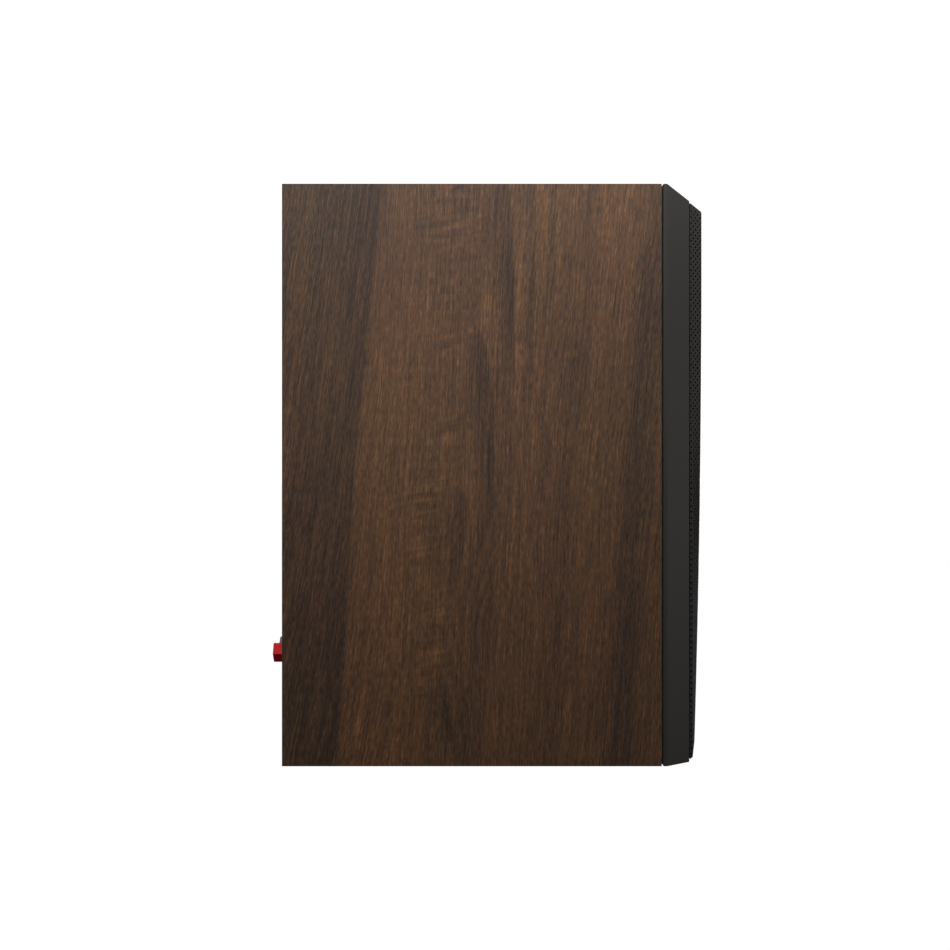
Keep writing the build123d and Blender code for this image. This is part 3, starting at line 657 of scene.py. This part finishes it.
# the front leans back by LEAN between these heights
LEAN, LEAN_TOP, LEAN_BOTTOM = 0.55, 320.0, 225.0
# the first column turns upright against the baffle over FOLD_SPAN below FOLD_START
FOLD_INSET, FOLD_START, FOLD_SPAN = 0.5, 245.0, 30.0
CORNER_SOFTEN = 0.8


def smoothstep(t):
    """0 up to 0, 1 from 1, and smooth in between."""
    t = np.clip(t, 0, 1)
    return t * t * (3 - 2 * t)


def grille_side(column, z, half_width, full_depth):
    """Places on half of the grille, as (x, depth). column counts hole columns in from the back edge."""
    fall = np.clip((TAPER_START - z) / TAPER_SPAN, 0, None)
    run = SIDE_RUN + TAPER_RUN * fall**TAPER_POWER
    depth = full_depth - LEAN * np.clip((LEAN_TOP - z) / (LEAN_TOP - LEAN_BOTTOM), 0, 1)
    folded = smoothstep((FOLD_START - z) / FOLD_SPAN)
    slant = np.hypot(run, depth)
    fold_x = half_width - run * COLUMN_PITCH / slant * (1 - folded) - FOLD_INSET * folded
    fold_y = depth * COLUMN_PITCH / slant * (1 - folded) + np.sqrt(COLUMN_PITCH**2 - FOLD_INSET**2) * folded
    edge_x = half_width - run
    bevel = np.hypot(edge_x - fold_x, depth - fold_y)
    even = (EVEN_COLUMNS - 1) * COLUMN_PITCH
    rest = (column - EVEN_COLUMNS) / (COLUMNS / 2 - EVEN_COLUMNS)
    inner = even + rest * (bevel + edge_x - even)
    arc = np.where(column <= EVEN_COLUMNS, (column - 1) * COLUMN_PITCH, inner)
    # along the bevel, round the corner, then across the flat front
    share = np.clip(arc / bevel, 0, 1)
    x = np.where(arc < bevel, fold_x + (edge_x - fold_x) * share, edge_x - (arc - bevel))
    y = fold_y + (depth - fold_y) * share
    t = np.clip((arc - bevel + CORNER_SOFTEN) / (2 * CORNER_SOFTEN), 0, 1)
    back = 1 - CORNER_SOFTEN / bevel
    start_x, start_y = fold_x + (edge_x - fold_x) * back, fold_y + (depth - fold_y) * back
    round_x = (1 - t) ** 2 * start_x + 2 * t * (1 - t) * edge_x + t**2 * (edge_x - CORNER_SOFTEN)
    round_y = (1 - t) ** 2 * start_y + 2 * t * (1 - t) * depth + t**2 * depth
    corner = (t > 0) & (t < 1)
    x, y = np.where(corner, round_x, x), np.where(corner, round_y, y)
    # the upright strip next to the baffle
    lip = np.clip(column, 0, 1)
    on_lip = column < 1
    x = np.where(on_lip, half_width + (fold_x - half_width) * lip, x)
    return x, np.where(on_lip, fold_y * lip, y)


def grille_surface(column, z, half_width, full_depth, low, high):
    """Places on the grille as (x, y, z). Heights beyond a bevel's crease are held at the crease."""
    left = column <= COLUMNS / 2
    inward = np.where(left, column, COLUMNS - column)
    for _ in range(3):
        x, depth = grille_side(inward, z, half_width, full_depth)
        z = np.clip(z, low + BOTTOM_BEVEL * depth, high - TOP_BEVEL * depth)
    return np.stack([np.where(left, -x, x), Y_GRILLE / MM - depth, z], axis=1)


def thicken(vertices, faces, thickness):
    """Turns an open sheet into a closed solid, with walls at its rim and in its holes."""
    normals = np.zeros_like(vertices)
    for size in (3, 4):
        chosen = np.array([f for f in faces if len(f) == size])
        if len(chosen) == 0:
            continue
        p = vertices[chosen]
        normal = np.cross(p[:, 2] - p[:, 0], p[:, -1] - p[:, 1] if size == 4 else p[:, 2] - p[:, 1])
        for k in range(size):
            np.add.at(normals, chosen[:, k], normal)
    normals /= np.linalg.norm(normals, axis=1)[:, None] + 1e-12
    count = len(vertices)
    inner = vertices - normals * thickness
    inner[:, 1] = np.minimum(inner[:, 1], Y_GRILLE / MM)
    solid = np.vstack([vertices, inner])
    edges = {}
    for face in faces:
        for a, b in zip(face, face[1:] + face[:1]):
            edges[(a, b)] = True
    walls = [(b, a, a + count, b + count) for a, b in edges if (b, a) not in edges]
    backs = [tuple(i + count for i in reversed(face)) for face in faces]
    return solid, list(faces) + backs + walls


def welded(vertices, faces):
    """Merges vertices that share a place, and drops the corners and faces that vanish with them."""
    keys = np.round(vertices * 1000).astype(np.int64)
    _, first, index = np.unique(keys, axis=0, return_index=True, return_inverse=True)
    index = index.reshape(-1)
    kept = []
    for face in faces:
        ring = [int(index[i]) for i in face]
        ring = [a for a, b in zip(ring, ring[1:] + ring[:1]) if a != b]
        if len(set(ring)) == len(ring) >= 3:
            kept.append(tuple(ring))
    return vertices[first], kept


def perforated_band(first, last, half_width, full_depth, low, high):
    """The open perforated sheet from one column to another, as (vertices, faces), in millimetres."""
    half_rows = int(math.ceil((high - low) / ROW_PITCH)) * 2 + 1
    base_z = (low + high) / 2 - half_rows * ROW_PITCH / 4
    ring = np.radians(22.5 + 45 * np.arange(8))
    ring_c = np.cos(ring) * HOLE_R / COLUMN_PITCH
    ring_z = np.sin(ring) * HOLE_R
    columns = np.arange(first, last + 1, dtype=float)
    heights = base_z + np.arange(half_rows + 1) * ROW_PITCH / 2
    grid_c, grid_z = np.meshgrid(columns, heights, indexing="ij")
    corners = grille_surface(grid_c.ravel(), grid_z.ravel(), half_width, full_depth, low, high)
    held = (np.abs(corners[:, 2] - grid_z.ravel()) > 1e-9).reshape(grid_c.shape)

    def corner(i, j):
        return (i - first) * (half_rows + 1) + j

    faces, hole_c, hole_z = [], [], []
    count = len(corners)
    for i in range(first, last):
        odd = i % 2
        k = i - first
        spare = [0] if odd else [half_rows - 1]
        cells = range(odd, half_rows - 1, 2)
        for j in cells:
            if held[k:k + 2, j:j + 3].any():
                spare += [j, j + 1]
                continue
            base = count + len(hole_c)
            hole_c.extend(i + 0.5 + ring_c)
            hole_z.extend(heights[j + 1] + ring_z)
            hole = [base + n for n in range(8)]
            right, left = corner(i + 1, j + 1), corner(i, j + 1)
            low_right, low_left = corner(i + 1, j), corner(i, j)
            top_right, top_left = corner(i + 1, j + 2), corner(i, j + 2)
            faces += [
                (right, hole[0], hole[7]),
                (right, top_right, hole[1], hole[0]),
                (top_right, top_left, hole[2], hole[1]),
                (top_left, left, hole[3], hole[2]),
                (left, hole[4], hole[3]),
                (left, low_left, hole[5], hole[4]),
                (low_left, low_right, hole[6], hole[5]),
                (low_right, right, hole[7], hole[6]),
            ]
        for j in spare:
            if j < half_rows:
                faces.append((corner(i, j), corner(i + 1, j), corner(i + 1, j + 1), corner(i, j + 1)))
    holes = grille_surface(np.array(hole_c), np.array(hole_z), half_width, full_depth, low, high)
    # plain bevels from the top and bottom creases to the back edge
    below, above = [], []
    for i in range(first, last + 1):
        for j, rim, found in ((0, low, below), (half_rows, high, above)):
            found.append((corners[corner(i, j)][0], Y_GRILLE / MM, rim))
    start = count + len(holes)
    size = last - first + 1
    for n in range(size - 1):
        i = first + n
        faces.append((start + n, start + n + 1, corner(i + 1, 0), corner(i, 0)))
        rim = start + size + n
        faces.append((corner(i, half_rows), corner(i + 1, half_rows), rim + 1, rim))
    return welded(np.vstack([corners, holes, below, above]), faces)


def build_grille(material):
    """The grille's skin, in three bands that stay under the size limit of one piece."""
    half_width = skin_high.x / MM
    full_depth = (skin_high.y - skin_low.y) / MM
    third = COLUMNS // 3
    bands = (
        ("grille_mesh_left", 0, third),
        ("grille_mesh_centre", third, COLUMNS - third),
        ("grille_mesh_right", COLUMNS - third, COLUMNS),
    )
    for name, first, last in bands:
        vertices, faces = perforated_band(
            first, last, half_width, full_depth, skin_low.z / MM, skin_high.z / MM
        )
        solid, closed = thicken(vertices, faces, SHEET)
        piece = add_mesh(name, solid * MM, closed, "grille", material, GRILLE_SMOOTH_ANGLE)
        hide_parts("grille_skin")


# ---------------------------------------------------------------- finishes on the CAD nodes
def finish(material, *names):
    """Gives CAD nodes a material."""
    for name in names:
        data = nodes[name].data
        data.materials.clear()
        data.materials.append(material)


def smooth_curves(*names):
    """Smooth shading on round CAD nodes, with their edges kept."""
    for name in names:
        data = nodes[name].data
        data.polygons.foreach_set("use_smooth", [True] * len(data.polygons))
        data.set_sharp_from_angle(angle=SMOOTH_ANGLE)


def dress():
    """Every material, and the pieces that stand for plain CAD nodes."""
    finish(walnut("walnut_left", 1, 2, side_low.x), "side_panel_left")
    finish(walnut("walnut_right", 1, 2, -side_low.x, 57.0), "side_panel_right")
    finish(walnut("walnut_top", 1, 0, HEIGHT, 23.0), "top_panel")
    finish(walnut("walnut_bottom", 1, 0, side_low.z, 71.0), "bottom_panel")
    finish(walnut("walnut_rear", 0, 2, Y_REAR, 90.0), "rear_panel")
    finish(textured("charcoal_lacquer", (0.044, 0.0392, 0.0350), 0.50, 0.35, 0.00001, 0.05), "baffle")
    finish(textured("raw_board", (0.30, 0.21, 0.13), 0.9, 0.8, 0.0001, 0.15), "window_brace")
    plastic = textured("black_moulding", (0.018, 0.018, 0.018), 0.46, 0.25, 0.00002, 0.06)
    finish(plastic, "port_tube", "port_inner_flare", "terminal_plate", "post_collars", "waveguide",
           "crossover_standoffs", "grille_frame", "woofer_terminals")
    finish(textured("black_oxide", (0.025, 0.025, 0.027), 0.38, 0.5, 0.00001, 0.1, metallic=0.7),
           "terminal_screws", "woofer_screws", "tweeter_screws")
    gold = (0.78, 0.56, 0.25)
    for side in ("red", "black"):
        low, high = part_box(f"{side}_post_stud")
        centre = tuple((low + high) / 2 / MM)
        finish(brushed(f"plated_brass_{side}", gold, 0.25, centre),
               f"{side}_post_stud", f"{side}_post_washer", f"{side}_knob_insert")
    finish(textured("nut_brass", gold, 0.3, 0.6, 0.00001, 0.1, metallic=1.0), "post_nuts", "solder_tags")
    finish(glossy_moulding("red_moulding", (1.0, 0.004, 0.014)), "red_knob")
    finish(textured("dark_moulding", (0.026, 0.025, 0.023), 0.3, 0.8, 0.00001, 0.06), "black_knob")
    finish(textured("cast_alloy", (0.10, 0.10, 0.105), 0.5, 0.5, 0.00006, 0.08, metallic=0.6),
           "woofer_basket")
    foam = textured("closed_cell_foam", (0.02, 0.02, 0.02), 0.9, 0.3, 0.0001, 0.12)
    finish(foam, "woofer_gasket", "tweeter_gasket", "terminal_gasket", "grille_pads")
    finish(fibre("pulp_cone", (0.075, 0.075, 0.078), 0.9, 0.7, 0.00012), "woofer_cone", "woofer_dust_cap")
    steel = (0.56, 0.56, 0.57)
    woofer_centre = (0.0, 0.0, WOOFER_Z / MM)
    tweeter_centre = (0.0, 0.0, TWEETER_Z / MM)
    finish(brushed("woofer_steel", steel, 0.35, woofer_centre), "woofer_top_plate", "woofer_yoke")
    finish(brushed("tweeter_steel", steel, 0.35, tweeter_centre), "tweeter_top_plate", "tweeter_yoke")
    finish(textured("ferrite_block", (0.035, 0.035, 0.038), 0.6, 0.7, 0.00004, 0.12),
           "woofer_magnet", "tweeter_magnet")
    finish(textured("nickel_plate", (0.62, 0.62, 0.64), 0.22, 1.2, 0.00001, 0.06, metallic=1.0),
           "baffle_magnets", "grille_magnets")
    finish(textured("amber_film", (0.36, 0.17, 0.045), 0.35, 0.6, 0.00001, 0.08), "woofer_coil_former")
    copper = (0.76, 0.32, 0.15)
    finish(wound("coil_winding", copper, 0.35, 1), "woofer_voice_coil", "tweeter_voice_coil")
    finish(wound("inductor_winding", copper, 1.3, 2), "woofer_inductor", "tweeter_inductor")
    finish(brushed("dome_alloy", (0.66, 0.66, 0.68), 0.32, tweeter_centre), "tweeter_dome")
    finish(textured("solder_mask", (0.02, 0.12, 0.045), 0.35, 1.5, 0.00002, 0.12), "crossover_board")
    finish(textured("film_wrap", (0.62, 0.36, 0.04), 0.3, 2.0, 0.00002, 0.08), "capacitors")
    finish(textured("cement", (0.62, 0.60, 0.55), 0.85, 0.5, 0.0001, 0.1), "resistors")
    finish(textured("red_insulation", (0.38, 0.015, 0.015), 0.4, 0.6, 0.00002, 0.08), "wiring_red")
    finish(textured("black_insulation", (0.02, 0.02, 0.02), 0.4, 0.6, 0.00002, 0.08), "wiring_black")
    rubber = textured("moulded_rubber", (0.02, 0.02, 0.021), 0.55, 0.3, 0.00002, 0.08)
    weave = woven("spider_weave", (0.5, 0.34, 0.12), 0.7)
    fluff = fibre("wadding_fibre", (0.72, 0.70, 0.65), 1.6, 0.95, 0.0008)
    finish(rubber, "woofer_surround", "tweeter_surround")
    finish(weave, "woofer_spider")
    finish(fluff, "damping_pads")
    woofer_surround(rubber)
    woofer_spider(weave)
    tweeter_surround(rubber)
    wadding(fluff)
    smooth_curves(
        "port_tube", "port_inner_flare", "waveguide", "woofer_cone", "woofer_dust_cap",
        "tweeter_dome", "woofer_basket", "woofer_magnet", "woofer_yoke", "tweeter_magnet",
        "tweeter_yoke", "red_post_stud", "black_post_stud", "red_post_washer", "black_post_washer",
        "red_knob_insert", "black_knob_insert", "wiring_red", "wiring_black", "capacitors", "woofer_inductor",
        "tweeter_inductor", "woofer_screws", "tweeter_screws", "terminal_screws", "post_collars",
        "woofer_coil_former", "woofer_voice_coil", "tweeter_voice_coil", "tweeter_top_plate",
        "woofer_top_plate", "terminal_plate", "baffle_magnets", "grille_magnets", "grille_pads",
    )
    build_grille(textured("grille_powder", (0.030, 0.0275, 0.0245), 0.55, 0.3, 0.00002, 0.08))


# ---------------------------------------------------------------- stage, light and camera
FLOOR_HALF = 30.0
FLOOR_GAP = 0.0002
FLOOR_GLOW = 1.12
FLOOR_GLOW_SHARE = 0.9


def floor():
    """A plain pale floor. It shows as white to the camera, and lights the object from below a little."""
    size = FLOOR_HALF
    vertices = [(-size, -size, 0), (size, -size, 0), (size, size, 0), (-size, size, 0)]
    mesh = bpy.data.meshes.new("floor")
    mesh.from_pydata(vertices, [], [(0, 1, 2, 3)])
    piece = bpy.data.objects.new("floor", mesh)
    bpy.context.scene.collection.objects.link(piece)
    piece.location.z = cad_low.z - FLOOR_GAP
    s = Surface("pale_floor")
    s.set(Base_Color=(0.10, 0.10, 0.10), Roughness=0.9)
    path = s.tree.nodes.new("ShaderNodeLightPath")
    glow = s.tree.nodes.new("ShaderNodeEmission")
    blend = s.tree.nodes.new("ShaderNodeMixShader")
    share = Field(s.tree, path.outputs["Is Camera Ray"]) * FLOOR_GLOW_SHARE
    plug(s.tree, share, blend.inputs[0])
    s.tree.links.new(s.shader.outputs[0], blend.inputs[1])
    s.tree.links.new(glow.outputs[0], blend.inputs[2])
    s.tree.links.new(blend.outputs[0], s.tree.nodes["Material Output"].inputs[0])
    glow.inputs["Strength"].default_value = FLOOR_GLOW
    mesh.materials.append(s.material)


DOME = 0.02
BACKDROP = 1.1


def world():
    """White to the camera, and a soft grey dome to the object."""
    made = bpy.data.worlds.new("studio")
    bpy.context.scene.world = made
    made.use_nodes = True
    tree = made.node_tree
    background = tree.nodes["Background"]
    path = tree.nodes.new("ShaderNodeLightPath")
    strength = Field(tree, path.outputs["Is Camera Ray"]) * (BACKDROP - DOME) + DOME
    plug(tree, strength, background.inputs["Strength"])
    background.inputs["Color"].default_value = (1, 1, 1, 1)


def area_light(name, place, target, size, power):
    """A white rectangular light that the camera doesn't see."""
    data = bpy.data.lights.new(name, "AREA")
    data.shape = "RECTANGLE"
    data.size, data.size_y = size
    data.energy = power
    lamp = bpy.data.objects.new(name, data)
    bpy.context.scene.collection.objects.link(lamp)
    lamp.location = place
    lamp.rotation_euler = (Vector(target) - Vector(place)).to_track_quat("-Z", "Y").to_euler()
    lamp.visible_camera = False
    return lamp


def lights():
    """Soft light from above and from both sides, and a frontal sheen on the side that faces the camera."""
    centre = (0, 0, HEIGHT / 2)
    area_light("overhead", (0, 0.06, 0.58), (0, 0.06, 0), (1.2, 1.2), 8.25)
    area_light("near_side", (-1.5, 0.2, 0.95), centre, (1.0, 0.5), 1.0)
    area_light("far_side", (1.4, -0.75, 0.2), (0, -0.15, 0.1), (0.6, 1.0), 2.2)
    area_light("front", (-0.6, -1.6, 0.1), (0, 0, 0.1), (1.2, 0.5), 2.6)
    area_light("rear", (-0.3, 1.6, 0.6), centre, (1.2, 1.2), 1.6)
    sheen = area_light("sheen", (-1.61, 0.05, 0.39), (-0.11, 0.02, 0.27), (0.3, 0.3), 0.66)
    sheen.visible_diffuse = False


# from the side panel, from the rear face towards the baffle, and above the floor
CAMERA_DISTANCE = 905.9 * MM
CAMERA_FORWARD = 132.58 * MM
CAMERA_Z = 200.0 * MM


def camera():
    """Level with half the speaker's height, square to its left side."""
    data = bpy.data.cameras.new("camera")
    data.lens = 50
    data.sensor_width = 36
    eye = bpy.data.objects.new("camera", data)
    bpy.context.scene.collection.objects.link(eye)
    eye.location = (side_low.x - CAMERA_DISTANCE, Y_REAR - CAMERA_FORWARD, CAMERA_Z)
    eye.rotation_euler = (math.pi / 2, 0, -math.pi / 2)
    data.clip_end = 100
    bpy.context.scene.camera = eye


dress()
floor()
world()
lights()
camera()
bpy.context.scene.view_settings.view_transform = "Standard"
